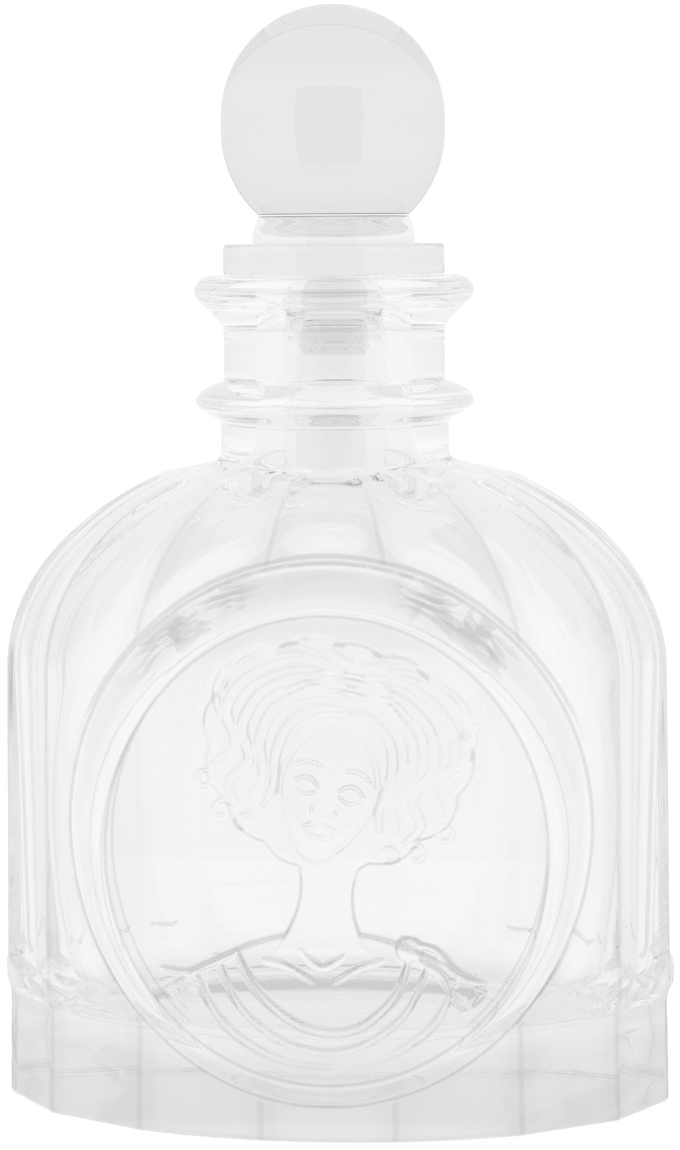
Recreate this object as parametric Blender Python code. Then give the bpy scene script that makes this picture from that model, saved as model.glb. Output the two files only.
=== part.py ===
"""Glass carafe with a ball stopper, as separate pieces at real size.

Metres, +Z up. The origin is where the axis of the neck meets the surface that the carafe
stands on. The front, with the medallion, faces -Y.
"""
import math

import bmesh
import bpy
from mathutils import Vector

mm = 0.001

# Bottle body
body_half_width = 74.5 * mm
body_half_depth = 39.0 * mm
body_draft = 1.2 * mm
shoulder_start = 96.0 * mm
shoulder_rise = 50.0 * mm
foot_radius = 1.5 * mm
bearing_width = 6.0 * mm
push_up = 1.1 * mm
push_up_shares = (0.3, 0.65, 1.0)
foot_inset = 0.1 * mm
heel_height = 23.4 * mm
heel_inset = 0.6 * mm
ledge_height = 3.2 * mm
band_height = 3.4 * mm

# Flutes
flute_count = 16
panel_flutes = 3
columns_per_flute = 6
side_flute_depth = 1.9 * mm
shoulder_flute_depth = 1.8 * mm
flute_runout = 2.6 * mm
runout_shares = ((0.35, 0.6), (1.0, 1.0))
flute_thinning_share = 0.4
flute_clear_share = 0.05
flute_end_share = 0.12
side_row_shares = (0.22, 0.45, 0.7)

# Neck, from its foot up
shoulder_top_half_width = 39.0 * mm
shoulder_top_climb = 1.6 * mm
throat_radius = 24.9 * mm
throat_height = 9.27 * mm
throat_fillet = 1.8 * mm
throat_spread = 4.6 * mm
ring_radius = 30.2 * mm
ring_height = 9.4 * mm
waist_radius = 24.0 * mm
waist_height = 11.0 * mm
lip_radius = 30.3 * mm
lip_height = 11.7 * mm
lip_land_radius = 26.2 * mm

# Fillet at the foot of the neck: share of its height, share of its spread at the side, and at the front
throat_shares = ((0.0, 1.0, 0.33), (0.33, 0.25, 0.12), (1.0, 0.0, 0.0))

# Outlines of the two rings: share of the height, share of the reach past the neck
ring_shares = ((0.13, 0.20), (0.28, 0.66), (0.42, 0.92), (0.54, 1.0), (0.65, 0.95), (0.78, 0.80), (0.92, 0.42))
lip_shares = ((0.28, 0.35), (0.42, 0.60), (0.52, 0.83), (0.63, 0.96), (0.73, 1.0), (0.84, 0.93), (0.93, 0.78))

# Inside of the bottle
side_wall = 6.0 * mm
face_wall = 5.0 * mm
shoulder_wall = 3.0 * mm
floor_thickness = 20.0 * mm
floor_corner = 9.0 * mm
side_wall_growth = 2.5 * mm
face_wall_growth = 1.0 * mm
bore_radius = 11.3 * mm
bore_mouth = 0.9 * mm
funnel_height = 9.0 * mm
funnel_spread = 4.5 * mm
funnel_shares = ((0.45, 0.22), (1.0, 0.0))

# Medallion: a flat disc, and the wall that spreads from it to the body
disc_half_width = 47.7 * mm
disc_half_height = 51.3 * mm
disc_centre_height = 62.5 * mm
disc_proud = 1.1 * mm
disc_bevel = 1.6 * mm
bevel_depth_share = 0.7
wall_spread = 7.8 * mm
wall_rise = 8.9 * mm
wall_drop = 3.1 * mm
wall_sink = 0.9 * mm

# Stopper
ball_radius = 24.1 * mm
ball_belt = 2.8 * mm
ball_seat_radius = 16.3 * mm
collar_height = 5.9 * mm
collar_radius = 17.7 * mm
collar_shares = ((0.0, 1.0), (0.35, 0.85), (0.7, 0.5), (1.0, 0.0))
flange_radius = 23.9 * mm
flange_height = 6.4 * mm
flange_edge = 1.0 * mm
flange_foot_edge = 0.25 * mm
plug_length = 17.0 * mm
shank_radius = 7.2 * mm
shank_bead = 0.5 * mm
shank_tip = 2.6 * mm
bead_share = 0.6
fin_count = 5
fin_reach = 1.3 * mm
fin_top_share = 0.18
fin_slope_share = 0.62

# Clearances
seat_gap = 0.3 * mm
running_gap = 0.3 * mm

# Facet counts and modelling limits
core_columns = 48
disc_columns = 56
ball_columns = 40
base_columns = 44
seal_columns = 32
shoulder_rows = 12
corner_rows = 3
core_rows = 7
overrun = 4.0 * mm
merge_distance = 0.001 * mm
smooth_limit = math.radians(28.0)

# Heights that follow from the sizes above
band_start = heel_height + ledge_height
flute_foot = band_start + band_height
shoulder_half_width = body_half_width - body_draft
shoulder_end_turn = math.acos(shoulder_top_half_width / shoulder_half_width)
shoulder_end = shoulder_start + shoulder_rise * math.sin(shoulder_end_turn)
neck_foot = shoulder_end + shoulder_top_climb
neck_foot_half_depth = throat_radius + throat_spread * throat_shares[0][2]
ring_foot = neck_foot + throat_height
waist_foot = ring_foot + ring_height
lip_foot = waist_foot + waist_height
lip_top = lip_foot + lip_height
seat_height = lip_top + seat_gap
flange_top = seat_height + flange_height
collar_top = flange_top + collar_height

# Outline on the body where the medallion's wall ends
wall_half_width = disc_half_width + wall_spread
wall_half_height = disc_half_height + (wall_rise + wall_drop) / 2.0
wall_centre_height = disc_centre_height + (wall_rise - wall_drop) / 2.0

# Sizes of the plug that follow from the bore
fin_radius = bore_radius - running_gap
sleeve_radius = fin_radius - fin_reach
sleeve_bore = shank_radius + seat_gap
plug_tip = seat_height - plug_length


def clear_scene():
    for item in list(bpy.data.objects):
        bpy.data.objects.remove(item, do_unlink=True)


def glass_material(name, colour, roughness, ior):
    material = bpy.data.materials.new(name)
    material.use_nodes = True
    shader = material.node_tree.nodes["Principled BSDF"]
    shader.inputs["Base Color"].default_value = (*colour, 1.0)
    shader.inputs["Roughness"].default_value = roughness
    shader.inputs["Metallic"].default_value = 0.0
    shader.inputs["IOR"].default_value = ior
    shader.inputs["Transmission Weight"].default_value = 1.0
    material.diffuse_color = (*colour, 1.0)
    return material


def finish_object(name, mesh_builder, material, origin=Vector()):
    """Make a named object from a bmesh, smooth with sharp edges kept, on its own origin."""
    bmesh.ops.remove_doubles(mesh_builder, verts=mesh_builder.verts, dist=merge_distance)
    bmesh.ops.recalc_face_normals(mesh_builder, faces=mesh_builder.faces)
    bmesh.ops.translate(mesh_builder, vec=-origin, verts=mesh_builder.verts)
    mesh = bpy.data.meshes.new(name)
    mesh_builder.to_mesh(mesh)
    mesh_builder.free()
    mesh.shade_smooth()
    mesh.set_sharp_from_angle(angle=smooth_limit)
    mesh.materials.append(material)
    thing = bpy.data.objects.new(name, mesh)
    thing.location = origin
    bpy.context.scene.collection.objects.link(thing)
    return thing


def guide_object(name, mesh_builder):
    """Make a guide body that only takes part in a Boolean."""
    bmesh.ops.remove_doubles(mesh_builder, verts=mesh_builder.verts, dist=merge_distance)
    bmesh.ops.recalc_face_normals(mesh_builder, faces=mesh_builder.faces)
    mesh = bpy.data.meshes.new(name)
    mesh_builder.to_mesh(mesh)
    mesh_builder.free()
    guide = bpy.data.objects.new(name, mesh)
    guide.hide_render = True
    guide.display_type = "WIRE"
    bpy.context.scene.collection.objects.link(guide)
    return guide


def add_boolean(target, guide, operation):
    step = target.modifiers.new(guide.name, "BOOLEAN")
    step.operation = operation
    step.solver = "EXACT"
    step.object = guide


def loft(rows, columns):
    """Skin a stack of closed rows, each a function from column number to a point, and cap both ends."""
    skin = bmesh.new()
    bmesh.ops.create_grid(skin, x_segments=columns, y_segments=len(rows) - 1, size=1.0)
    for vertex in skin.verts:
        column = round((vertex.co.x + 1.0) / 2.0 * columns) % columns
        row = round((vertex.co.y + 1.0) / 2.0 * (len(rows) - 1))
        vertex.co = rows[row](column)
    bmesh.ops.remove_doubles(skin, verts=skin.verts, dist=merge_distance)
    rim = [edge for edge in skin.edges if edge.is_boundary]
    bmesh.ops.holes_fill(skin, edges=rim, sides=0)
    return skin


def turned(outline, columns):
    """Spin an outline of (radius, height) points round the Z axis."""
    body = bmesh.new()
    points = [body.verts.new((radius, 0.0, height)) for radius, height in outline]
    edges = [body.edges.new(pair) for pair in zip(points, points[1:])]
    bmesh.ops.spin(body, geom=points + edges, cent=(0.0, 0.0, 0.0), axis=(0.0, 0.0, 1.0),
                   angle=math.tau, steps=columns, use_merge=True, use_duplicate=False)
    return body


flute_turn = math.tau / flute_count
panel_turn = flute_turn * panel_flutes / 2.0
BODY_COLUMNS = flute_count * columns_per_flute


def ridge_turn(flute):
    """Turn of the ridge where a flute begins. The first flute has its middle at the front centre."""
    return flute_turn * (flute - 0.5)


def column_turn(column):
    """Turn of a column, and how far it lies across its flute, from 0 at one ridge to 1 at the next."""
    flute, part = divmod(column, columns_per_flute)
    across = part / columns_per_flute
    return ridge_turn(flute) + flute_turn * across, across, flute


def on_panel(flute):
    """True for the flutes of the front panel and of the back panel."""
    return abs(math.cos(flute_turn * flute)) > math.cos(panel_turn)


def oval_point(turn, half_width, half_depth, height):
    return Vector((half_width * math.sin(turn), -half_depth * math.cos(turn), height))


def inward(turn, half_width, half_depth):
    """Unit vector into the body, square to the oval."""
    return -Vector((math.sin(turn) / half_width, -math.cos(turn) / half_depth, 0.0)).normalized()


def smooth_share(value):
    limited = min(max(value, 0.0), 1.0)
    return limited * limited * (3.0 - 2.0 * limited)


def clear_of_medallion(point):
    """0 inside the outline of the medallion's wall, rising to 1 just outside it, where flutes run out.
    The back has the same plain oval."""
    across = point.x / wall_half_width
    up = (point.z - wall_centre_height) / wall_half_height
    return smooth_share((math.hypot(across, up) - 1.0 - flute_clear_share) / flute_end_share)


def oval_row(half_width, half_depth, height, facet=0.0, side_depth=0.0, panel_depth=0.0):
    """One row of the body: an oval, cut flat between the ridges by the facet share, and fluted."""
    def point(column):
        turn, across, flute = column_turn(column)
        curved = oval_point(turn, half_width, half_depth, height)
        if not on_panel(flute):
            first = oval_point(ridge_turn(flute), half_width, half_depth, height)
            last = oval_point(ridge_turn(flute + 1), half_width, half_depth, height)
            curved = curved.lerp(first.lerp(last, across), facet)
        depth = panel_depth if on_panel(flute) else side_depth
        hollow = 1.0 - (2.0 * across - 1.0) ** 2
        return curved + inward(turn, half_width, half_depth) * depth * hollow * clear_of_medallion(curved)
    return point


def round_row(radius, height):
    return oval_row(radius, radius, height)


def body_half_width_at(height):
    """Half width of the straight part, which narrows a little towards the shoulder."""
    share = (height - flute_foot) / (shoulder_start - flute_foot)
    return body_half_width - body_draft * min(max(share, 0.0), 1.0)


def shoulder_half_depth(climb, half_depth, end_half_depth, end_climb):
    """Half depth on the shoulder, so that it arrives at the neck with the wanted half depth."""
    reach = math.sqrt(1.0 - (end_half_depth / half_depth) ** 2)
    return half_depth * math.sqrt(1.0 - (reach * climb / end_climb) ** 2)


def heel_rows():
    """The underside with its shallow push-up, the rounded foot, the faceted heel and the ledge."""
    width = body_half_width - foot_inset
    depth = body_half_depth - foot_inset
    inner = foot_radius + bearing_width
    rows = [oval_row((width - inner) * share, (depth - inner) * share, push_up * (1.0 - share ** 2))
            for share in push_up_shares]
    for turn in (0.0, math.pi / 4.0, math.pi / 2.0):
        inset = foot_radius * (1.0 - math.sin(turn))
        rows.append(oval_row(width - inset, depth - inset, foot_radius * (1.0 - math.cos(turn)), 1.0))
    rows.append(oval_row(body_half_width - heel_inset, body_half_depth - heel_inset, heel_height, 1.0))
    rows.append(oval_row(body_half_width, body_half_depth, band_start))
    rows.append(oval_row(body_half_width, body_half_depth, flute_foot))
    return rows


def side_rows():
    """The fluted sides, from the scooped ends of the flutes to the middle of the body."""
    rows = []
    for climb_share, depth_share in runout_shares:
        height = flute_foot + flute_runout * climb_share
        rows.append(oval_row(body_half_width_at(height), body_half_depth, height, 0.0,
                             side_flute_depth * depth_share))
    for share in side_row_shares:
        height = flute_foot + (shoulder_start - flute_foot) * share
        rows.append(oval_row(body_half_width_at(height), body_half_depth, height, 0.0, side_flute_depth))
    return rows


def shoulder_rows_and_throat():
    """The fluted shoulder, closing from the oval of the body to the round throat."""
    rows = []
    for step in range(shoulder_rows + 1):
        share = step / shoulder_rows
        turn = shoulder_end_turn * share
        climb = shoulder_rise * math.sin(turn)
        depth = shoulder_half_depth(climb, body_half_depth, neck_foot_half_depth, neck_foot - shoulder_start)
        thinning = 1.0 - flute_thinning_share * smooth_share(2.0 * share - 1.0)
        rows.append(oval_row(shoulder_half_width * math.cos(turn), depth, shoulder_start + climb, 0.0,
                             side_flute_depth * thinning, shoulder_flute_depth * thinning))
    for height_share, width_share, depth_share in throat_shares:
        rows.append(oval_row(throat_radius + throat_spread * width_share,
                             throat_radius + throat_spread * depth_share,
                             neck_foot + throat_fillet * height_share, 0.0,
                             side_flute_depth * width_share / 2.0, side_flute_depth * width_share / 2.0))
    return rows


def neck_rows():
    """The throat, the ring, the waist and the lip, up to the flat land that the stopper sits on."""
    rows = [round_row(throat_radius, ring_foot)]
    for height_share, reach_share in ring_shares:
        radius = waist_radius + (ring_radius - waist_radius) * reach_share
        rows.append(round_row(radius, ring_foot + ring_height * height_share))
    rows.append(round_row(waist_radius, waist_foot))
    rows.append(round_row(waist_radius, lip_foot))
    for height_share, reach_share in lip_shares:
        radius = waist_radius + (lip_radius - waist_radius) * reach_share
        rows.append(round_row(radius, lip_foot + lip_height * height_share))
    rows.append(round_row(lip_land_radius, lip_top))
    return rows


def core_row(half_width, half_depth, height):
    def point(column):
        return oval_point(math.tau * column / core_columns, half_width, half_depth, height)
    return point


def cavity():
    """The space inside: an oval chamber with a rounded floor, which narrows a little towards it, a
    shoulder, a funnel and the bore."""
    width = shoulder_half_width - side_wall
    depth = body_half_depth - face_wall
    rows = []
    for step in range(corner_rows + 1):
        turn = math.pi / 2.0 * step / corner_rows
        inset = floor_corner * (1.0 - math.sin(turn))
        height = floor_thickness + floor_corner * (1.0 - math.cos(turn))
        rows.append(core_row(width - side_wall_growth - inset, depth - face_wall_growth - inset, height))
    funnel_foot = neck_foot - shoulder_wall
    funnel_radius = bore_radius + funnel_spread
    climb_end = funnel_foot - shoulder_start
    width_reach = math.sqrt(1.0 - (funnel_radius / width) ** 2)
    for step in range(core_rows + 1):
        turn = math.asin(width_reach) * step / core_rows
        climb = climb_end * math.sin(turn) / width_reach
        row_depth = shoulder_half_depth(climb, depth, funnel_radius, climb_end)
        rows.append(core_row(width * math.cos(turn), row_depth, shoulder_start + climb))
    for height_share, spread_share in funnel_shares:
        radius = bore_radius + funnel_spread * spread_share
        rows.append(core_row(radius, radius, funnel_foot + funnel_height * height_share))
    mouth_radius = bore_radius + bore_mouth
    rows.append(core_row(bore_radius, bore_radius, lip_top - bore_mouth))
    rows.append(core_row(mouth_radius, mouth_radius, lip_top))
    rows.append(core_row(mouth_radius, mouth_radius, lip_top + overrun))
    return loft(rows, core_columns)


def upright_oval(half_width, half_height, depth, centre):
    """A row for the loft that stands upright, square to the Y axis."""
    def point(column):
        turn = math.tau * column / disc_columns
        return Vector((half_width * math.sin(turn), -depth, centre + half_height * math.cos(turn)))
    return point


def front_depth(across, height):
    """How far the plain oval of the body reaches to the front, beside the axis and at a height."""
    climb = max(height - shoulder_start, 0.0)
    half_width = body_half_width_at(height) * math.sqrt(1.0 - (climb / shoulder_rise) ** 2)
    half_depth = shoulder_half_depth(climb, body_half_depth, neck_foot_half_depth, neck_foot - shoulder_start)
    return half_depth * math.sqrt(1.0 - (across / half_width) ** 2)


def wall_foot_row():
    """Where the medallion's wall ends: an upright oval laid on the body and sunk a little into it."""
    flat_row = upright_oval(wall_half_width, wall_half_height, 0.0, wall_centre_height)

    def point(column):
        place = flat_row(column)
        return Vector((place.x, wall_sink - front_depth(place.x, place.z), place.z))
    return point


def medallion():
    """The oval drum on the front: a flat disc with a bevelled rim on a wall that spreads to the body."""
    face = body_half_depth + disc_proud
    back = front_depth(wall_half_width, wall_centre_height) - wall_sink - overrun
    rows = [
        upright_oval(disc_half_width - disc_bevel, disc_half_height - disc_bevel, face, disc_centre_height),
        upright_oval(disc_half_width, disc_half_height, face - disc_bevel * bevel_depth_share,
                     disc_centre_height),
        wall_foot_row(),
        upright_oval(wall_half_width, wall_half_height, back, wall_centre_height),
    ]
    return loft(rows, disc_columns)


def make_bottle(material):
    rows = heel_rows() + side_rows() + shoulder_rows_and_throat() + neck_rows()
    bottle = finish_object("bottle", loft(rows, BODY_COLUMNS), material)
    add_boolean(bottle, guide_object("medallion_guide", medallion()), "UNION")
    add_boolean(bottle, guide_object("cavity_guide", cavity()), "DIFFERENCE")
    return bottle


def make_ball(material, axis):
    """The ball: two half spheres on a short belt, cut flat where it sits on the collar."""
    ball = bmesh.new()
    seat_drop = math.sqrt(ball_radius ** 2 - ball_seat_radius ** 2)
    lower_centre = collar_top + seat_gap + seat_drop
    bmesh.ops.create_uvsphere(ball, u_segments=ball_columns, v_segments=ball_columns // 2, radius=ball_radius)
    seat_cut = bmesh.ops.bisect_plane(ball, geom=ball.verts[:] + ball.edges[:] + ball.faces[:],
                                      plane_co=(0.0, 0.0, -seat_drop), plane_no=(0.0, 0.0, 1.0),
                                      clear_inner=True)
    seat_edges = [item for item in seat_cut["geom_cut"] if isinstance(item, bmesh.types.BMEdge)]
    bmesh.ops.holes_fill(ball, edges=seat_edges, sides=0)
    upper = [vertex for vertex in ball.verts if vertex.co.z > merge_distance]
    bmesh.ops.translate(ball, vec=(0.0, 0.0, ball_belt), verts=upper)
    bmesh.ops.translate(ball, vec=(0.0, 0.0, lower_centre), verts=ball.verts)
    return finish_object("stopper_ball", ball, material, axis)


def make_base(material, axis):
    """Collar, flange and shank in one clear moulding, with a bead that keeps the sleeve on."""
    bead_radius = shank_radius + shank_bead
    edge_part = flange_edge * (1.0 - math.sqrt(0.5))
    outline = [
        (0.0, plug_tip),
        (shank_radius - shank_bead, plug_tip),
        (bead_radius, plug_tip + shank_tip * bead_share),
        (bead_radius, plug_tip + shank_tip),
        (shank_radius, plug_tip + shank_tip + seat_gap),
        (shank_radius, seat_height),
        (flange_radius - flange_foot_edge, seat_height),
        (flange_radius, seat_height + flange_foot_edge),
        (flange_radius, flange_top - flange_edge),
        (flange_radius - edge_part, flange_top - edge_part),
        (flange_radius - flange_edge, flange_top),
    ]
    for height_share, reach_share in collar_shares:
        radius = ball_seat_radius + (collar_radius - ball_seat_radius) * reach_share
        outline.append((radius, flange_top + collar_height * height_share))
    outline.append((0.0, collar_top))
    return finish_object("stopper_base", turned(outline, base_columns), material, axis)


def make_seal(material, axis):
    """The soft sleeve: a bore for the shank and fins that lean up where they touch the neck."""
    foot = plug_tip + shank_tip + 2.0 * seat_gap
    pitch = (lip_top - foot) / fin_count
    outline = [(sleeve_bore, foot)]
    for fin in range(fin_count):
        start = foot + pitch * fin
        outline.append((sleeve_radius, start))
        outline.append((fin_radius, start + pitch * fin_slope_share))
        outline.append((fin_radius, start + pitch * (1.0 - fin_top_share)))
        outline.append((sleeve_radius, start + pitch * (1.0 - fin_top_share / 2.0)))
    outline.append((sleeve_radius, lip_top))
    outline.append((sleeve_bore, lip_top))
    outline.append((sleeve_bore, foot))
    return finish_object("stopper_seal", turned(outline, seal_columns), material, axis)


def main():
    clear_scene()
    bottle_glass = glass_material("bottle_glass", (0.98, 0.99, 0.985), 0.03, 1.52)
    ball_glass = glass_material("ball_glass", (0.98, 0.985, 0.98), 0.02, 1.52)
    clear_moulding = glass_material("clear_moulding", (0.97, 0.96, 0.93), 0.06, 1.49)
    soft_seal = glass_material("soft_seal", (0.93, 0.94, 0.93), 0.35, 1.51)
    make_bottle(bottle_glass)
    axis = Vector((0.0, 0.0, seat_height))
    make_ball(ball_glass, axis)
    make_base(clear_moulding, axis)
    make_seal(soft_seal, axis)


main()
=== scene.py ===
import math

import bmesh
import bpy
from mathutils import Matrix, Vector


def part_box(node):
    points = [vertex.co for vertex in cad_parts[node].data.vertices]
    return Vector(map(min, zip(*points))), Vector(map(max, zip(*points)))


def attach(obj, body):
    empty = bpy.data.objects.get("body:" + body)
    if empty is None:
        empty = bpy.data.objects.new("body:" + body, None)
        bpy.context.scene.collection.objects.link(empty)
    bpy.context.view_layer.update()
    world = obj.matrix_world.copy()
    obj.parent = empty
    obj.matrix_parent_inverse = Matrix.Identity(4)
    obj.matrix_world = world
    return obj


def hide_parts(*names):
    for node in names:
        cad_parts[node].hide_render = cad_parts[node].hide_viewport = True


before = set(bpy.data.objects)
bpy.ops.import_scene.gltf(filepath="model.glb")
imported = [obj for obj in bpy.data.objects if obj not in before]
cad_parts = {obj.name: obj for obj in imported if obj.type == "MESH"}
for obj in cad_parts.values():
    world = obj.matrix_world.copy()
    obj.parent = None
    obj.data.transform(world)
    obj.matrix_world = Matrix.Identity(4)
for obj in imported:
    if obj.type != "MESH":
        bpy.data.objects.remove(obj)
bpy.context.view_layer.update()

# Attribute of the bottle's vertices that says how far its surface turns away from the front, which places the
# painted shade on the bust's steep edges
STEEPNESS = "steepness"

mm = 0.001
metre = 1.0

bottle_low, bottle_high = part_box("bottle")
ball_low, ball_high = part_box("stopper_ball")
base_low, base_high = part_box("stopper_base")
seal_low, seal_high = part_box("stopper_seal")

# Bottle body
body_half_width = bottle_high.x
body_half_depth = bottle_high.y
face_depth = -bottle_low.y
lip_top = bottle_high.z
body_draft = 1.2 * mm
shoulder_start = 96.0 * mm
shoulder_rise = 50.0 * mm
foot_radius = 1.5 * mm
bearing_width = 6.0 * mm
push_up = 1.1 * mm
foot_inset = 0.1 * mm
heel_height = 23.4 * mm
heel_inset = 0.6 * mm
ledge_height = 3.2 * mm
band_height = 3.4 * mm
push_up_shares = (0.0, 0.12, 0.3, 0.5, 0.7, 0.86, 0.95, 1.0)
bearing_share = 0.3
bearing_facet_share = 0.7
heel_shares = (0.3, 0.6, 0.85)

# Ledge over the heel: share of its height, share of its reach, and how much is left of the facets
ledge_shares = ((0.0, 0.0, 1.0), (0.12, 0.05, 0.97), (0.3, 0.25, 0.75), (0.5, 0.55, 0.42),
                (0.7, 0.82, 0.16), (0.88, 0.97, 0.03), (1.0, 1.0, 0.0))

# Flutes
flute_count = 16
panel_flutes = 3
flute_columns = 14
column_gathering_share = 0.55
scoop_start_share = 0.5
side_flute_depth = 1.9 * mm
shoulder_flute_depth = 1.8 * mm
flute_runout = 2.6 * mm
scoop_height = 4.4 * mm
ridge_share = 0.12
flute_thinning_share = 0.4
flute_clear_share = 0.02
flute_end_share = 0.12

# Neck
shoulder_top_half_width = 39.0 * mm
shoulder_top_climb = 1.6 * mm
throat_radius = 24.9 * mm
throat_spread = 4.6 * mm
throat_depth_share = 0.33
throat_height = 9.27 * mm
throat_fillet = 5.265 * mm
ring_radius = 30.2 * mm
ring_height = 9.4 * mm
waist_radius = 24.0 * mm
waist_height = 11.0 * mm
lip_radius = 30.3 * mm
lip_height = 11.7 * mm
lip_land_radius = 26.2 * mm

# Fillet at the foot of the neck: share of its spread at the side and at the front, share of its height, and
# how much is left of the flutes
throat_shares = ((0.8156, 0.9006, 0.0883, 0.95), (0.617, 0.7856, 0.2022, 0.85),
                 (0.4255, 0.6132, 0.3067, 0.66), (0.2199, 0.3641, 0.4492, 0.38),
                 (0.0851, 0.1533, 0.5821, 0.14), (0.0142, 0.0383, 0.7531, 0.0), (0.0, 0.0, 1.0, 0.0))

# Outlines of the ring and of the lip: share of the height, share of the reach past the waist
ring_shares = ((0.0, 0.13), (0.07, 0.15), (0.13, 0.24), (0.28, 0.66), (0.42, 0.92), (0.54, 1.0),
               (0.65, 0.95), (0.78, 0.78), (0.92, 0.34), (0.97, 0.1), (1.0, 0.0))
lip_shares = ((0.0, 0.0), (0.1, 0.06), (0.28, 0.35), (0.42, 0.60), (0.52, 0.83), (0.63, 0.96), (0.73, 1.0),
              (0.84, 0.93), (0.93, 0.78), (0.985, 0.58), (1.0, 0.35))

# Inside of the bottle
side_wall = 6.0 * mm
face_wall = 5.0 * mm
shoulder_wall = 3.0 * mm
floor_thickness = 20.0 * mm
floor_corner = 9.0 * mm
bore_radius = 11.3 * mm
bore_mouth = 0.9 * mm
funnel_height = 9.0 * mm
funnel_spread = 4.5 * mm
funnel_power = 0.9
side_wall_growth = 2.5 * mm
face_wall_growth = 1.0 * mm
wall_growth_shares = (0.25, 0.5, 0.75)
floor_shares = (0.8, 0.5, 0.2, 0.0)

# Medallion
disc_half_width = 47.7 * mm
disc_half_height = 51.3 * mm
disc_centre_height = 62.5 * mm
disc_bevel = 1.6 * mm
bevel_depth_share = 0.7
relief_height = 0.85 * mm
wall_spread = 7.8 * mm
wall_rise = 8.9 * mm
wall_drop = 3.1 * mm
wall_step = 0.5 * mm
cove_power = 1.6
wall_sink = 0.35 * mm
guide_sink = 2.6 * mm

# Stopper
ball_belt = 2.8 * mm
ball_seat_radius = 16.3 * mm
flange_radius = base_high.x
flange_height = 6.4 * mm
flange_foot_edge = 0.25 * mm
flange_edge = 0.9 * mm
collar_radius = 17.7 * mm
collar_shares = ((0.0, 1.0), (0.356, 0.8214), (0.695, 0.5), (1.0, 0.0))
shank_radius = 7.2 * mm
shank_bead = 0.5 * mm
shank_tip = 2.6 * mm
bead_share = 0.6
fin_count = 5
fin_reach = 1.3 * mm
fin_shares = ((0.0, 0.0), (0.4, 0.55), (0.66, 1.0), (0.78, 1.0), (0.9, 0.0))
seat_gap = 0.3 * mm

# Facet counts and modelling limits
foot_rows = 6
scoop_rows = 14
side_row_count = 26
shoulder_rows = 34
mouth_rows = 3
funnel_rows = 7
chamber_rows = 22
corner_rows = 8
low_ball_rows = 22
high_ball_rows = 44
disc_rings = 104
bevel_rings = 3
wall_rings = 8
turned_columns = 128
merge_distance = 0.001 * mm
bottle_sharp_angle = math.radians(34.0)
turned_sharp_angle = math.radians(35.0)
other_sharp_angle = math.radians(40.0)

# Camera
camera_yaw = math.radians(3.8)
camera_roll = math.radians(0.4)
camera_tilt = math.radians(7.137)
camera_aside = math.radians(0.084)
camera_distance = 590.79 * mm
camera_height = 189.86 * mm
camera_lens = 85.0
camera_sensor = 36.0
light_bounces = 48

# Studio: a lit floor and an even tent of cloth, with one opening in front that is darker
floor_size = 14.0 * metre
floor_gap = 0.4 * mm
floor_grey = 0.2
floor_glow = 0.9
shaded_floor_grey = 0.1
shaded_floor_glow = 0.9
# Painted shadow: the floor that the glass shows glows less near the object
near_floor_painted_shadow_share = 0.9
near_floor_reach = 150.0 * mm
far_floor_share = 0.93
far_floor_reaches = (0.4 * metre, 2.5 * metre)
# Painted shade: that floor also glows less in front, towards the tent's opening
front_floor_painted_shade = 0.6
front_floor_start = 100.0 * mm
front_floor_sides = (164.0 * mm, 246.0 * mm)
backdrop_level = 1.05
backdrop_share = 0.45
tent_level = 0.92
tent_top_share = 0.95
tent_rises = (0.1, 0.8)
opening_level_reflected = 0.03
opening_level_refracted = 0.5
opening_distance = 303.0 * mm
opening_half_width = 205.0 * mm
opening_top = 386.0 * mm

# Waves of the glass, by the scale of their noise
wave_height = 0.2 * mm
long_wave_scale = 34.0
fine_wave_scale = 210.0
fine_wave_share = 0.12

# Tones of the glass, as shares of its colour: painted shade and painted reflection, all but the stopper's
# dark joint. Pairs of shares, sides, depths and heights are where a tone begins and where it ends.
# Painted shade on the steep edges of the bust, in place of the dark lines that their slopes bend into view
steep_shares = (0.004, 0.09)
relief_line_painted_shade = 0.4
disc_margins = (0.02 * mm, 0.1 * mm)
# Painted shade on the medallion's wall: dark lines at its rim and foot, a light grey over it and dark streak
# marks above the disc, in place of the light that the wall bends away
outer_line_share = 0.01
rim_line_share = 0.009
rim_line_fade_share = 0.8
edge_line_painted_shade = 0.32
plain_wall_painted_shade = 0.08
wall_inner_shares = (1.05, 1.08)
wall_outer_shares = (0.95, 1.0)
front_depths = (-24.0 * mm, -20.0 * mm)
streak_painted_shade = 0.24
streak_scale = 95.0
streak_stretch = 3.2
streak_noise_shares = (0.49, 0.545)
streak_heights = (94.0 * mm, 104.0 * mm)
streak_sides = (10.0 * mm, 20.0 * mm)
# Painted shade: darker cloudy patches low in the heel, for the shaded floor that the base shows
cloud_painted_shade = 0.12
cloud_scale = 42.0
cloud_stretch = 2.4
cloud_noise_shares = (0.47, 0.6)
cloud_top_share = 0.75
cloud_sides = (30.0 * mm, 46.0 * mm)
cloud_depths = (-16.0 * mm, -8.0 * mm)
# Painted shade: the glass is darker low in the foot, where it shows the shaded floor beneath
foot_painted_shade_share = 0.84
foot_painted_shade_heights = (14.0 * mm, 24.0 * mm)
# Painted shade: the two flanks are a little darker, as less light comes from the tent's sides
flank_painted_shade_share = 0.95
flank_sides = (54.0 * mm, 66.0 * mm)
# Painted shade: the glass round the disc is a little darker, so that the disc itself reads lighter
beside_disc_painted_shade_share = 0.975
disc_edge_shares = (0.98, 1.02)
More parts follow.
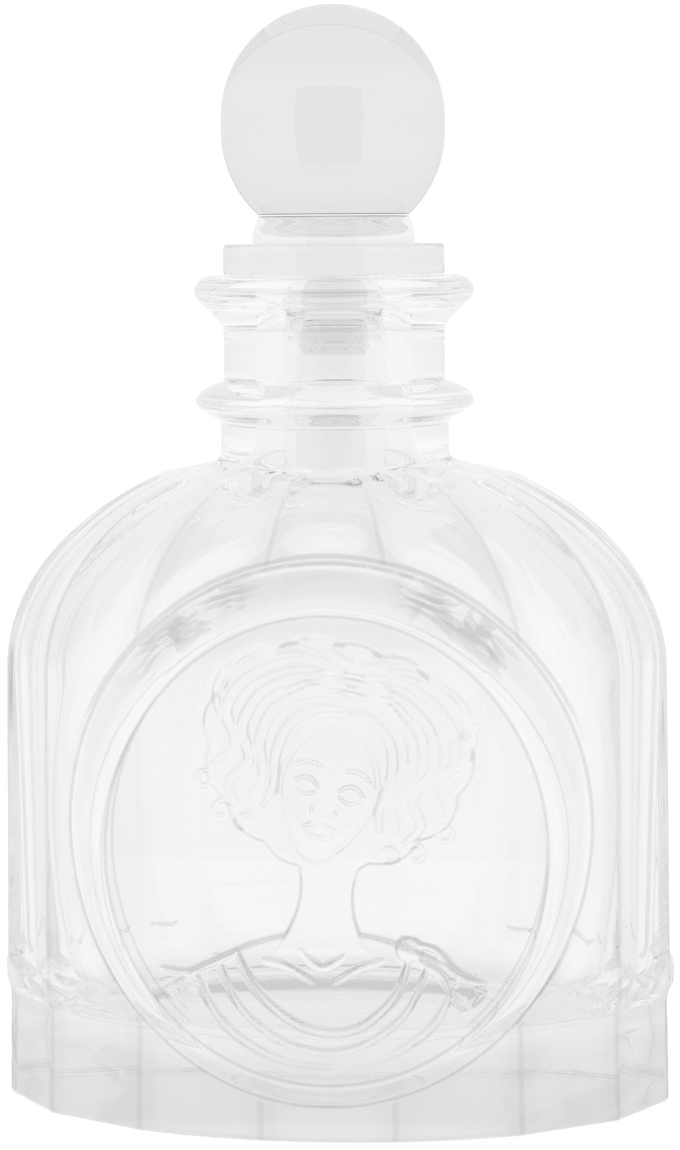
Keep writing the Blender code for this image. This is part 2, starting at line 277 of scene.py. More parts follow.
# Painted shade along the ridges of the flutes and facets: a soft band and a thin line, weaker behind, fading
# out by the medallion and towards the neck
beside_wall_shares = (1.0, 1.03)
ridge_band_share = 0.2
ridge_band_painted_shade = 0.07
ridge_line_share = 0.035
ridge_line_painted_shade = 0.16
ridge_back_share = 0.15
ridge_back_shares = (0.1, 0.5)
ridge_top_share = 0.7
ridge_outside_shares = (0.93, 0.96)
# Painted shade on the ball's upper half, and a painted reflection at the front of its top: a thin dark line
# over a greyer cap
ball_top_painted_shade_share = 0.86
ball_top_rises = (0.0, 0.5)
cap_slope = 1.52
cap_offset = -0.183
cap_line_share = 0.02
cap_line_painted_reflection = 0.22
cap_painted_reflection = 0.05
cap_edge_shares = (0.0, 0.03)
cap_rises = (0.2, 0.4)
cap_front_shares = (-0.3, 0.0)
joint_dark_share = 0.9
joint_heights = (0.271 * mm, 0.414 * mm)
joint_rings = (0.64 * mm, 0.8 * mm)

# Heights that follow from the sizes above
band_start = heel_height + ledge_height
flute_foot = band_start + band_height
shoulder_half_width = body_half_width - body_draft
shoulder_end_turn = math.acos(shoulder_top_half_width / shoulder_half_width)
shoulder_end = shoulder_start + shoulder_rise * math.sin(shoulder_end_turn)
neck_foot = shoulder_end + shoulder_top_climb
neck_foot_half_depth = throat_radius + throat_spread * throat_depth_share
ring_foot = neck_foot + throat_height
waist_foot = ring_foot + ring_height
lip_foot = waist_foot + waist_height
seat_height = lip_top + seat_gap
flange_top = seat_height + flange_height
collar_top = ball_low.z - seat_gap
wall_half_width = disc_half_width + wall_spread
wall_half_height = disc_half_height + (wall_rise + wall_drop) / 2.0
wall_centre_height = disc_centre_height + (wall_rise - wall_drop) / 2.0


def smooth_share(value):
    limited = min(max(value, 0.0), 1.0)
    return limited * limited * (3.0 - 2.0 * limited)


def mixed(first, last, share):
    return first + (last - first) * share


def curve_through(points, steps):
    """A smooth curve through points of any dimension, with a number of steps between each two."""
    curve = []
    last = len(points) - 1
    for index in range(last):
        before = points[max(index - 1, 0)]
        start = points[index]
        end = points[index + 1]
        after = points[min(index + 2, last)]
        for step in range(steps):
            share = step / steps
            place = []
            for a, b, c, d in zip(before, start, end, after):
                square = share * share
                cube = square * share
                value = (2.0 * b + (c - a) * share + (2.0 * a - 5.0 * b + 4.0 * c - d) * square
                         + (3.0 * b - a - 3.0 * c + d) * cube) / 2.0
                place.append(value)
            curve.append(tuple(place))
    curve.append(tuple(points[last]))
    return curve


def object_of(name, mesh_builder):
    """An object at the origin, with the mesh that the builder holds."""
    mesh = bpy.data.meshes.new(name)
    mesh_builder.to_mesh(mesh)
    mesh_builder.free()
    thing = bpy.data.objects.new(name, mesh)
    bpy.context.scene.collection.objects.link(thing)
    return thing


def finish_piece(name, mesh_builder, material, limit_angle):
    """Merge, orient and shade a piece."""
    bmesh.ops.remove_doubles(mesh_builder, verts=mesh_builder.verts, dist=merge_distance)
    bmesh.ops.recalc_face_normals(mesh_builder, faces=mesh_builder.faces)
    piece = object_of(name, mesh_builder)
    piece.data.shade_smooth()
    piece.data.set_sharp_from_angle(angle=limit_angle)
    piece.data.materials.append(material)
    return piece


# Body of the bottle

flute_turn = math.tau / flute_count
panel_turn = flute_turn * panel_flutes / 2.0


def ridge_turn(flute):
    """Turn of the ridge where a flute begins. The first flute has its middle at the front centre."""
    return flute_turn * (flute - 0.5)


def column_plan():
    """Turn, share across its flute, and flute number of every column, closer together near the ridges."""
    plan = []
    for flute in range(flute_count):
        for part in range(flute_columns):
            even = part / flute_columns
            gathered = (1.0 - math.cos(math.pi * even)) / 2.0
            across = mixed(even, gathered, column_gathering_share)
            plan.append((ridge_turn(flute) + flute_turn * across, across, flute))
    return plan


COLUMNS = column_plan()
PANEL = [abs(math.cos(flute_turn * flute)) > math.cos(panel_turn) for flute in range(flute_count)]


def oval_point(turn, half_width, half_depth, height):
    return Vector((half_width * math.sin(turn), -half_depth * math.cos(turn), height))


def inward(turn, half_width, half_depth):
    return -Vector((math.sin(turn) / half_width, -math.cos(turn) / half_depth, 0.0)).normalized()


def clear_of_medallion(point):
    """0 inside the outline of the medallion's wall, rising to 1 outside it, where flutes run out."""
    across = point.x / wall_half_width
    up = (point.z - wall_centre_height) / wall_half_height
    return smooth_share((math.hypot(across, up) - 1.0 - flute_clear_share) / flute_end_share)


def hollow_of(across):
    """Cross-section of a flute: a round hollow with slightly rounded ridges."""
    off = abs(2.0 * across - 1.0)
    hollow = (1.0 - off * off) ** 2
    deepest = math.sqrt(1.0 + ridge_share ** 2) - ridge_share
    return (math.sqrt(hollow + ridge_share ** 2) - ridge_share) / deepest


def scoop_share(height, across):
    """How far a flute has sunk at a height above its round lower end."""
    off = 2.0 * across - 1.0
    start = flute_foot + scoop_height * (1.0 - math.sqrt(1.0 - off * off))
    climb = min(max((height - start) / flute_runout, 0.0), 1.0)
    return math.sqrt(1.0 - (1.0 - climb) ** 2)


def oval_row(half_width, half_depth, height, facet=0.0, side_depth=0.0, panel_depth=0.0, scoop=False):
    """One row of the body: an oval, cut flat between the ridges by the facet share, and fluted."""
    row = []
    for turn, across, flute in COLUMNS:
        place = oval_point(turn, half_width, half_depth, height)
        if facet and not PANEL[flute]:
            first = oval_point(ridge_turn(flute), half_width, half_depth, height)
            last = oval_point(ridge_turn(flute + 1), half_width, half_depth, height)
            place = place.lerp(first.lerp(last, across), facet)
        depth = panel_depth if PANEL[flute] else side_depth
        if depth:
            share = hollow_of(across) * clear_of_medallion(place)
            if scoop:
                share *= scoop_share(height, across)
            place = place + inward(turn, half_width, half_depth) * depth * share
        row.append(place)
    return row


def round_row(radius, height):
    return oval_row(radius, radius, height)


def body_half_width_at(height):
    share = (height - flute_foot) / (shoulder_start - flute_foot)
    return body_half_width - body_draft * min(max(share, 0.0), 1.0)


def shoulder_half_depth(climb, half_depth, end_half_depth, end_climb):
    reach = math.sqrt(1.0 - (end_half_depth / half_depth) ** 2)
    return half_depth * math.sqrt(1.0 - (reach * climb / end_climb) ** 2)


def front_depth(across, height):
    """How far the plain oval of the body reaches to the front, beside the axis and at a height."""
    climb = max(height - shoulder_start, 0.0)
    half_width = body_half_width_at(height) * math.sqrt(1.0 - (climb / shoulder_rise) ** 2)
    half_depth = shoulder_half_depth(climb, body_half_depth, neck_foot_half_depth, neck_foot - shoulder_start)
    return half_depth * math.sqrt(1.0 - (across / half_width) ** 2)


def inset_row(inset, height, facet):
    """A row of the heel, a little inside the widest oval of the body."""
    return oval_row(body_half_width - inset, body_half_depth - inset, height, facet)


def heel_rows():
    """The underside with its push-up, the rounded foot, the faceted heel and the ledge above it."""
    outer = foot_inset + foot_radius
    inner = outer + bearing_width
    rows = []
    for share in push_up_shares:
        rows.append(oval_row((body_half_width - inner) * share, (body_half_depth - inner) * share,
                             push_up * (1.0 - share ** 2)))
    rows.append(inset_row(mixed(outer, inner, bearing_share), 0.0, bearing_facet_share))
    for step in range(foot_rows + 1):
        turn = math.pi / 2.0 * step / foot_rows
        height = foot_radius * (1.0 - math.cos(turn))
        rows.append(inset_row(outer - foot_radius * math.sin(turn), height, 1.0))
    for share in heel_shares:
        height = mixed(foot_radius, heel_height, share)
        rows.append(inset_row(mixed(foot_inset, heel_inset, share), height, 1.0))
    for height_share, reach_share, facet in ledge_shares:
        height = heel_height + ledge_height * height_share
        rows.append(inset_row(heel_inset * (1.0 - reach_share), height, facet))
    return rows


def side_rows():
    """The fluted sides, from the scooped ends of the flutes to the shoulder."""
    rows = []
    scoop_start = band_start + band_height * scoop_start_share
    scoop_end = flute_foot + scoop_height + flute_runout
    for step in range(1, scoop_rows + 1):
        height = mixed(scoop_start, scoop_end, step / scoop_rows)
        rows.append(oval_row(body_half_width_at(height), body_half_depth, height,
                             side_depth=side_flute_depth, scoop=True))
    for step in range(1, side_row_count):
        height = mixed(scoop_end, shoulder_start, step / side_row_count)
        rows.append(oval_row(body_half_width_at(height), body_half_depth, height,
                             side_depth=side_flute_depth))
    return rows


def shoulder_and_throat_rows():
    """The fluted shoulder, closing from the oval of the body to the round throat."""
    rows = []
    end_climb = neck_foot - shoulder_start
    for step in range(shoulder_rows + 1):
        share = step / shoulder_rows
        turn = shoulder_end_turn * share
        climb = shoulder_rise * math.sin(turn)
        depth = shoulder_half_depth(climb, body_half_depth, neck_foot_half_depth, end_climb)
        left = 1.0 - flute_thinning_share * smooth_share(2.0 * share - 1.0)
        rows.append(oval_row(shoulder_half_width * math.cos(turn), depth, shoulder_start + climb,
                             side_depth=side_flute_depth * left, panel_depth=shoulder_flute_depth * left))
    fillet = [(shoulder_top_half_width, depth, shoulder_end, 1.0)]
    for side_share, front_share, height_share, flute_share in throat_shares:
        fillet.append((mixed(throat_radius, shoulder_top_half_width, side_share),
                       mixed(throat_radius, depth, front_share),
                       shoulder_end + throat_fillet * height_share, flute_share))
    for half_width, half_depth, height, flute_share in curve_through(fillet, 2)[1:]:
        left = (1.0 - flute_thinning_share) * flute_share
        rows.append(oval_row(half_width, half_depth, height,
                             side_depth=side_flute_depth * left, panel_depth=shoulder_flute_depth * left))
    return rows


def neck_rows():
    """The ring, the waist and the lip, up to the flat land that the stopper sits on."""
    rows = []
    for height_share, reach_share in curve_through(ring_shares, 2):
        radius = mixed(waist_radius, ring_radius, reach_share)
        rows.append(round_row(radius, ring_foot + ring_height * height_share))
    rows.append(round_row(waist_radius, mixed(waist_foot, lip_foot, 0.5)))
    for height_share, reach_share in curve_through(lip_shares, 2):
        radius = mixed(waist_radius, lip_radius, reach_share)
        rows.append(round_row(radius, lip_foot + lip_height * height_share))
    mouth_radius = bore_radius + bore_mouth
    rows.append(round_row(mixed(mouth_radius, lip_land_radius, 0.5), lip_top))
    for step in range(mouth_rows + 1):
        turn = math.pi / 2.0 * step / mouth_rows
        rows.append(round_row(mouth_radius - bore_mouth * math.sin(turn),
                              lip_top - bore_mouth * (1.0 - math.cos(turn))))
    return rows


def cavity_rows():
    """The inside, from the bore down to the middle of the floor."""
    width = shoulder_half_width - side_wall
    depth = body_half_depth - face_wall
    funnel_foot = neck_foot - shoulder_wall
    funnel_radius = bore_radius + funnel_spread
    funnel_top = funnel_foot + funnel_height
    rows = [round_row(bore_radius, mixed(lip_top, funnel_top, 0.5))]
    for step in range(funnel_rows + 1):
        share = step / funnel_rows
        radius = bore_radius + funnel_spread * (1.0 - math.cos(math.pi / 2.0 * share)) ** funnel_power
        rows.append(round_row(radius, mixed(funnel_top, funnel_foot, share)))
    climb_end = funnel_foot - shoulder_start
    width_reach = math.sqrt(1.0 - (funnel_radius / width) ** 2)
    for step in range(1, chamber_rows + 1):
        turn = math.asin(width_reach) * (1.0 - step / chamber_rows)
        climb = climb_end * math.sin(turn) / width_reach
        row_depth = shoulder_half_depth(climb, depth, funnel_radius, climb_end)
        rows.append(oval_row(width * math.cos(turn), row_depth, shoulder_start + climb))
    corner_top = floor_thickness + floor_corner
    for share in wall_growth_shares:
        rows.append(oval_row(width - side_wall_growth * share, depth - face_wall_growth * share,
                             mixed(shoulder_start, corner_top, share)))
    foot_width = width - side_wall_growth
    foot_depth = depth - face_wall_growth
    for step in range(corner_rows + 1):
        turn = math.pi / 2.0 * step / corner_rows
        inset = floor_corner * (1.0 - math.cos(turn))
        height = corner_top - floor_corner * math.sin(turn)
        rows.append(oval_row(foot_width - inset, foot_depth - inset, height))
    for share in floor_shares:
        rows.append(oval_row((foot_width - floor_corner) * share, (foot_depth - floor_corner) * share,
                             floor_thickness))
    return rows


def stack_of_rows(rows):
    """Skin closed rows of points from pole to pole."""
    skin = bmesh.new()
    columns = len(COLUMNS)
    last_row = len(rows) - 1
    bmesh.ops.create_grid(skin, x_segments=columns, y_segments=last_row, size=1.0)
    for vertex in skin.verts:
        column = round((vertex.co.x + 1.0) / 2.0 * columns) % columns
        row = round((vertex.co.y + 1.0) / 2.0 * last_row)
        vertex.co = rows[row][column]
    bmesh.ops.remove_doubles(skin, verts=skin.verts, dist=merge_distance)
    return skin


# Relief on the disc. Its places and sizes are in millimetres from the middle of the disc, and those of the
# head from the head's own middle. A rise is a share of the relief's height.

head_place = (0.5, 13.0)
head_lean = math.radians(-13.0)
face_pull = 0.42
face_pull_reach = 15.0 * mm
bust_half_width = 43.5
bust_half_height = 47.5
bust_edge_slope = 14.0
dress_top = -16.5
dress_fall = 0.011
dress_rise = 0.36
dress_edge = 0.8
bust_neck_top = 4.0
bust_neck_foot = -24.0
bust_neck_fade = 4.0
bust_neck_half_width = 5.4
bust_neck_lean = 0.1
bust_neck_pivot = -5.0
bust_neck_spread = 0.028
bust_neck_waist = -8.0
bust_neck_rise = 0.46
bust_neck_edge = 0.7
hair_middle = 8.0
hair_half_width = 27.5
hair_half_height = 23.5
hair_edge_slope = 28.0
hair_rise = 0.44
face_half_width = 9.9
face_narrowing = 0.2
face_half_height = 14.0
face_groove_share = 1.1
face_groove_slope = 16.0
face_groove_rise = 0.16
face_edge_share = 1.01
face_edge_slope = 14.0
face_rise = 0.36
face_dome = 0.24
nose_rise = 0.22
nose_slope = 1.3
nose_middle = -0.6
nose_half_width = 2.4
nose_half_height = 5.6

# Strokes of one half of the head, upright: points, half width, rise. The other half mirrors them.
face_strokes = (
    (((-7.8, 0.4), (-5.9, 2.1), (-3.7, 2.1), (-1.9, 0.4)), 0.65, 0.34),
    (((-7.4, 0.0), (-4.8, -1.3), (-2.1, -0.1)), 0.55, 0.3),
    (((-8.5, 3.5), (-6.6, 5.2), (-4.2, 5.6), (-1.9, 4.9)), 0.65, 0.36),
    (((0.8, -5.0), (-1.2, -5.1), (-2.4, -4.3), (-2.3, -3.2)), 0.55, 0.26),
    (((1.6, -7.3), (-1.1, -7.0), (-3.9, -8.0)), 0.7, 0.28),
    (((1.4, -9.7), (-1.4, -9.6), (-3.2, -8.7)), 0.75, 0.28),
)
lock_strokes = (
    (((-0.4, 17.6), (-5.5, 16.9), (-10.6, 12.6), (-12.2, 5.5), (-11.2, -1.0), (-12.6, -6.0)), 1.3, 0.34),
    (((-0.5, 20.2), (-7.5, 19.8), (-14.2, 15.0), (-16.0, 7.5), (-13.8, 0.5), (-16.2, -5.5)), 1.4, 0.3),
    (((-0.8, 22.9), (-9.5, 22.8), (-17.6, 17.6), (-20.2, 9.5), (-17.2, 3.0), (-20.4, -2.5), (-17.6, -7.0)),
     1.4, 0.34),
    (((-2.0, 25.4), (-11.5, 25.6), (-20.8, 20.2), (-24.2, 12.5), (-21.0, 6.0), (-24.6, 0.5)), 1.4, 0.3),
    (((-6.0, 27.6), (-14.0, 28.0), (-22.5, 24.4), (-27.0, 17.0), (-25.2, 10.5)), 1.2, 0.3),
    (((-11.0, 30.2), (-17.5, 29.6), (-23.4, 27.0)), 1.1, 0.26),
    (((-1.0, 28.4), (-6.0, 30.4), (-10.6, 30.8)), 1.1, 0.26),
)

# Curls at the ends of the locks: middle, radius, first and last turn in degrees
curl_strokes = (
    ((-20.6, -8.6), 2.3, 40.0, 330.0),
    ((-25.4, -3.2), 2.2, 80.0, 360.0),
    ((-15.4, -10.2), 2.1, 0.0, 290.0),
    ((-26.0, 21.5), 2.0, 120.0, 400.0),
)
curl_steps = 5
curl_end_share = 0.45
curl_half_width = 0.8
curl_rise = 0.3
fillet_strokes = (
    (((-14.6, 18.6), (-8.0, 23.4), (0.0, 24.8), (8.0, 23.4), (14.6, 18.6)), 0.6, 0.5),
    (((-13.6, 16.6), (-7.6, 21.0), (0.0, 22.2), (7.6, 21.0), (13.6, 16.6)), 0.6, 0.5),
)

# Strokes of the dress, placed from the middle of the disc
dress_strokes = (
    (((-19.0, -20.5), (-14.0, -30.0), (-4.5, -37.2), (6.0, -37.4), (14.5, -30.0), (17.5, -21.0)), 1.1, 0.42),
    (((-23.0, -21.5), (-18.0, -33.0), (-7.5, -41.0), (5.0, -41.8), (16.0, -34.5), (21.5, -23.0)), 1.0, 0.34),
    (((-28.0, -25.0), (-21.5, -36.5), (-10.0, -44.2), (2.0, -45.6)), 1.0, 0.34),
    (((27.5, -25.5), (22.5, -36.0), (12.5, -43.6), (4.0, -45.8)), 1.0, 0.3),
    (((-32.0, -29.0), (-25.5, -38.0), (-15.5, -44.6)), 0.9, 0.3),
    (((32.0, -29.5), (26.0, -38.2), (17.0, -44.2)), 0.9, 0.3),
    (((16.5, -19.0), (22.5, -20.2), (27.0, -25.0), (33.0, -27.4)), 0.9, 0.4),
    (((18.0, -22.0), (24.0, -25.5), (27.0, -31.0), (30.5, -33.0)), 0.9, 0.36),
    (((-18.5, -21.0), (-24.0, -23.5), (-29.5, -25.5), (-34.5, -24.5)), 0.9, 0.36),
    (((-5.5, -20.5), (-1.0, -24.2), (4.0, -21.5)), 0.8, 0.2),
    (((-13.5, -22.5), (-8.0, -24.0), (-2.5, -27.5)), 0.7, 0.18),
    (((12.0, -22.5), (6.5, -24.4), (1.5, -27.5)), 0.7, 0.18),
)
brooch_place = (17.2, -20.2)
brooch_radius = 2.7
brooch_rises = (0.25, 0.3)
stroke_edge = 0.55
stroke_edge_share = 0.8
stroke_end_share = 0.4
stroke_steps = 5


def head_point(p, q):
    """Place on the disc of a point of the upright head."""
    return (head_place[0] + p * math.cos(head_lean) - q * math.sin(head_lean),
            head_place[1] + p * math.sin(head_lean) + q * math.cos(head_lean))


def laid_stroke(points, half_width, rise, place=None):
    """A smooth stroke with the box that it can reach."""
    line = curve_through(points, stroke_steps)
    if place:
        line = [place(p, q) for p, q in line]
    across = [point[0] for point in line]
    up = [point[1] for point in line]
    return (line, half_width, rise, min(across) - half_width, max(across) + half_width,
            min(up) - half_width, max(up) + half_width)


def all_strokes():
    strokes = []
    for points, half_width, rise in face_strokes + lock_strokes:
        other = [(-p, q) for p, q in points]
        strokes.append(laid_stroke(points, half_width, rise, head_point))
        strokes.append(laid_stroke(other, half_width, rise, head_point))
    for (p, q), radius, first, last in curl_strokes:
        for side in (1.0, -1.0):
            ring = []
            for step in range(curl_steps + 1):
                turn = math.radians(mixed(first, last, step / curl_steps))
                size = radius * mixed(1.0, curl_end_share, step / curl_steps)
                ring.append((side * (p + size * math.cos(turn)), q + size * math.sin(turn)))
            strokes.append(laid_stroke(ring, curl_half_width, curl_rise, head_point))
    for points, half_width, rise in fillet_strokes:
        strokes.append(laid_stroke(points, half_width, rise, head_point))
    for points, half_width, rise in dress_strokes:
        strokes.append(laid_stroke(points, half_width, rise))
    return strokes


STROKES = all_strokes()


def stroke_rise(stroke, u, v):
    """Rounded cross-section of a stroke that thins towards its ends."""
    line, half_width, rise = stroke[:3]
    nearest = half_width * half_width
    along = 0.0
    last = len(line) - 1
    for index in range(last):
        ax, ay = line[index]
        bx, by = line[index + 1]
        dx = bx - ax
        dy = by - ay
        share = ((u - ax) * dx + (v - ay) * dy) / (dx * dx + dy * dy + 1e-9)
        share = min(max(share, 0.0), 1.0)
        gap = (ax + dx * share - u) ** 2 + (ay + dy * share - v) ** 2
        if gap < nearest:
            nearest = gap
            along = (index + share) / last
    taper = mixed(stroke_end_share, 1.0, math.sqrt(max(math.sin(math.pi * along), 0.0)))
    inside = half_width * taper - math.sqrt(nearest)
    if inside <= 0.0:
        return 0.0
    return rise * smooth_share(inside / min(stroke_edge, half_width * stroke_edge_share))


def hair_wave(around):
    """Scallops of the hair's outline, by the turn round its middle."""
    return 0.97 + 0.06 * abs(math.sin(6.5 * around + 0.6)) + 0.025 * math.sin(3.0 * around)


def face_relief(p, q, ground):
    """Rise of the face over a groove round it, where the hair beside it rises to the ground."""
    share = math.hypot(p / (face_half_width + face_narrowing * min(q, 0.0)), q / face_half_height)
    if share >= face_groove_share:
        return ground
    dome = face_rise + face_dome * math.sqrt(max(1.0 - share * share, 0.0))
    nose = math.hypot(p / nose_half_width, (q - nose_middle) / nose_half_height)
    dome += nose_rise * smooth_share(nose_slope * (1.0 - nose))
    inner = mixed(face_groove_rise, dome, smooth_share((face_edge_share - share) * face_edge_slope))
    return mixed(ground, inner, smooth_share((face_groove_share - share) * face_groove_slope))


def relief_share(x, z):
    """Rise of the bust over the disc, as a share of the relief's height."""
    u = x / mm
    v = (z - disc_centre_height) / mm
    inside = smooth_share((1.0 - math.hypot(u / bust_half_width, v / bust_half_height)) * bust_edge_slope)
    if inside <= 0.0:
        return 0.0
    dx = u - head_place[0]
    dy = v - head_place[1]
    p = dx * math.cos(head_lean) + dy * math.sin(head_lean)
    q = dy * math.cos(head_lean) - dx * math.sin(head_lean)
    wave = hair_wave(math.atan2(q - hair_middle, p))
    past_hair = math.hypot(p / hair_half_width, (q - hair_middle) / hair_half_height) / wave - 1.0
    rise = hair_rise * smooth_share(0.5 - past_hair * hair_edge_slope)
    over_dress = v - dress_top + dress_fall * u * u
    rise = max(rise, dress_rise * smooth_share(0.5 - over_dress / dress_edge))
    if bust_neck_foot < v < bust_neck_top:
        beside = abs(u - head_place[0] - bust_neck_lean * (v - bust_neck_pivot))
        past_bust_neck = beside - bust_neck_half_width - bust_neck_spread * (v - bust_neck_waist) ** 2
        rise = max(rise, bust_neck_rise * smooth_share(0.5 - past_bust_neck / bust_neck_edge)
                   * smooth_share((v - bust_neck_foot) / bust_neck_fade))
    rise = face_relief(p, q, rise)
    top = 0.0
    for stroke in STROKES:
        if stroke[3] < u < stroke[4] and stroke[5] < v < stroke[6]:
            top = max(top, stroke_rise(stroke, u, v))
    brooch = math.hypot(u - brooch_place[0], v - brooch_place[1]) / brooch_radius
    if brooch < 1.0:
        top = max(top, brooch_rises[0] + brooch_rises[1] * math.sqrt(1.0 - brooch * brooch))
    return min(rise + top, 1.0) * inside


# Medallion


def square_to_round(vertex, rings):
    """Ring number of a grid point, counted from the middle, and its direction."""
    column = vertex.co.x * rings
    row = vertex.co.y * rings
    ring = max(abs(column), abs(row))
    if ring < 0.5:
        return 0.0, 0.0, 1.0
    if abs(column) >= abs(row):
        turn = math.pi / 4.0 * row / column
        side = math.copysign(1.0, column)
        return ring, side * math.cos(turn), side * math.sin(turn)
    turn = math.pi / 4.0 * column / row
    side = math.copysign(1.0, row)
    return ring, side * math.sin(turn), side * math.cos(turn)


def medallion_front(vertex, rings):
    """Place of a grid point on the disc, its bevel or the wall."""
    ring, along, up = square_to_round(vertex, rings)
    disc_depth = face_depth - relief_height
    edge_depth = disc_depth - disc_bevel * bevel_depth_share
    if ring <= disc_rings:
        share = ring / disc_rings
        x = (disc_half_width - disc_bevel) * share * along
        z = disc_centre_height + (disc_half_height - disc_bevel) * share * up
        face_x = head_place[0] * mm
        face_z = disc_centre_height + head_place[1] * mm
        gap = math.hypot(x - face_x, z - face_z)
        pull = face_pull * math.exp(-(gap / face_pull_reach) ** 2) * (1.0 - share ** 4)
        x = mixed(x, face_x, pull)
        z = mixed(z, face_z, pull)
        return Vector((x, -disc_depth - relief_height * relief_share(x, z), z))
    if ring <= disc_rings + bevel_rings:
        turn = math.pi / 2.0 * (ring - disc_rings) / bevel_rings
        inset = disc_bevel * (1.0 - math.sin(turn))
        depth = mixed(edge_depth, disc_depth, math.cos(turn))
        return Vector(((disc_half_width - inset) * along, -depth,
                       disc_centre_height + (disc_half_height - inset) * up))
    even = (ring - disc_rings - bevel_rings) / wall_rings
    share = mixed(even, 1.0 - (1.0 - even) ** 2, 0.5)
    rim_x = disc_half_width * along
    rim_z = disc_centre_height + disc_half_height * up
    x = mixed(rim_x, wall_half_width * along, share)
    z = mixed(rim_z, wall_centre_height + wall_half_height * up, share)
    if even > 0.999:
        return Vector((x, wall_sink - front_depth(x, z), z))
    rim_lift = edge_depth - front_depth(rim_x, rim_z) - wall_step
    lift = rim_lift * (1.0 - share) ** cove_power + wall_step * math.sqrt(1.0 - share ** 4)
    return Vector((x, -lift - front_depth(x, z), z))


def medallion_back(vertex, rings):
    """Place of a grid point on the hidden back, a little under the surface of the body."""
    ring, along, up = square_to_round(vertex, rings)
    share = ring / rings
    x = wall_half_width * along * share
    z = wall_centre_height + wall_half_height * up * share
    sink = wall_sink if ring > rings - 0.5 else guide_sink
    return Vector((x, sink - front_depth(x, z), z))


def medallion_guide():
    rings = disc_rings + bevel_rings + wall_rings
    both = bmesh.new()
    for place in (medallion_front, medallion_back):
        grid = bmesh.ops.create_grid(both, x_segments=2 * rings, y_segments=2 * rings, size=1.0)
        for vertex in grid["verts"]:
            vertex.co = place(vertex, rings)
    bmesh.ops.remove_doubles(both, verts=both.verts, dist=merge_distance)
    bmesh.ops.recalc_face_normals(both, faces=both.faces)
    return object_of("medallion_guide", both)


def make_bottle(material):
    rows = heel_rows() + side_rows() + shoulder_and_throat_rows() + neck_rows() + cavity_rows()
    bottle = finish_piece("bottle_look", stack_of_rows(rows), material, other_sharp_angle)
    guide = medallion_guide()
    union = bottle.modifiers.new("medallion", "BOOLEAN")
    union.operation = "UNION"
    union.solver = "EXACT"
    union.object = guide
    bpy.context.view_layer.update()
    settled = bottle.evaluated_get(bpy.context.evaluated_depsgraph_get())
    mesh = bpy.data.meshes.new_from_object(settled)
    bottle.modifiers.clear()
    bottle.data = mesh
    mesh.shade_smooth()
    mesh.set_sharp_from_angle(angle=bottle_sharp_angle)
    steepness = mesh.attributes.new(STEEPNESS, "FLOAT", "POINT")
    steepness.data.foreach_set("value", [1.0 + normal.vector.y for normal in mesh.vertex_normals])
    bpy.data.objects.remove(guide, do_unlink=True)
    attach(bottle, "bottle")
    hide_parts("bottle")
    return bottle


# Stopper

def turned(outline, columns):
    """Spin an outline of (radius, height) points round the Z axis."""
    body = bmesh.new()
    points = [body.verts.new((radius, 0.0, height)) for radius, height in outline]
    edges = [body.edges.new(pair) for pair in zip(points, points[1:])]
    bmesh.ops.spin(body, geom=points + edges, cent=(0.0, 0.0, 0.0), axis=(0.0, 0.0, 1.0),
                   angle=math.tau, steps=columns, use_merge=True, use_duplicate=False)
    return body


def arc(centre_radius, centre_height, size, start, end, steps):
    """Points on a round of an outline, from one turn to another."""
    points = []
    for step in range(steps + 1):
        turn = mixed(start, end, step / steps)
        points.append((centre_radius + size * math.cos(turn), centre_height + size * math.sin(turn)))
    return points


def make_ball(material):
    ball_radius = ball_high.x
    seat_drop = math.sqrt(ball_radius ** 2 - ball_seat_radius ** 2)
    lower_centre = ball_low.z + seat_drop
    seat_turn = math.asin(seat_drop / ball_radius)
    outline = [(0.0, ball_low.z), (ball_seat_radius * 0.5, ball_low.z)]
    outline += arc(0.0, lower_centre, ball_radius, -seat_turn, 0.0, low_ball_rows)
    outline += arc(0.0, lower_centre + ball_belt, ball_radius, 0.0, math.pi / 2.0, high_ball_rows)[:-1]
    outline.append((0.0, ball_high.z))
    piece = finish_piece("ball_look", turned(outline, turned_columns), material, other_sharp_angle)
    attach(piece, "stopper")
    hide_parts("stopper_ball")
    return piece


def make_base(material):
    tip = base_low.z
    bead = shank_radius + shank_bead
    bead_top = tip + shank_tip
    outline = [(0.0, tip), (shank_radius - shank_bead, tip), (bead, tip + shank_tip * bead_share),
               (bead, bead_top), (shank_radius, bead_top + seat_gap), (shank_radius, seat_height)]
    outline += arc(flange_radius - flange_foot_edge, seat_height + flange_foot_edge, flange_foot_edge,
                   -math.pi / 2.0, 0.0, 3)
    outline += arc(flange_radius - flange_edge, flange_top - flange_edge, flange_edge, 0.0, math.pi / 2.0, 6)
    collar = []
    for height_share, reach_share in collar_shares:
        radius = mixed(ball_seat_radius, collar_radius, reach_share)
        collar.append((radius, mixed(flange_top, collar_top, height_share)))
    outline += curve_through(collar, 3)
    outline.append((0.0, collar_top))
    piece = finish_piece("base_look", turned(outline, turned_columns), material, turned_sharp_angle)
    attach(piece, "stopper")
    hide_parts("stopper_base")
    return piece


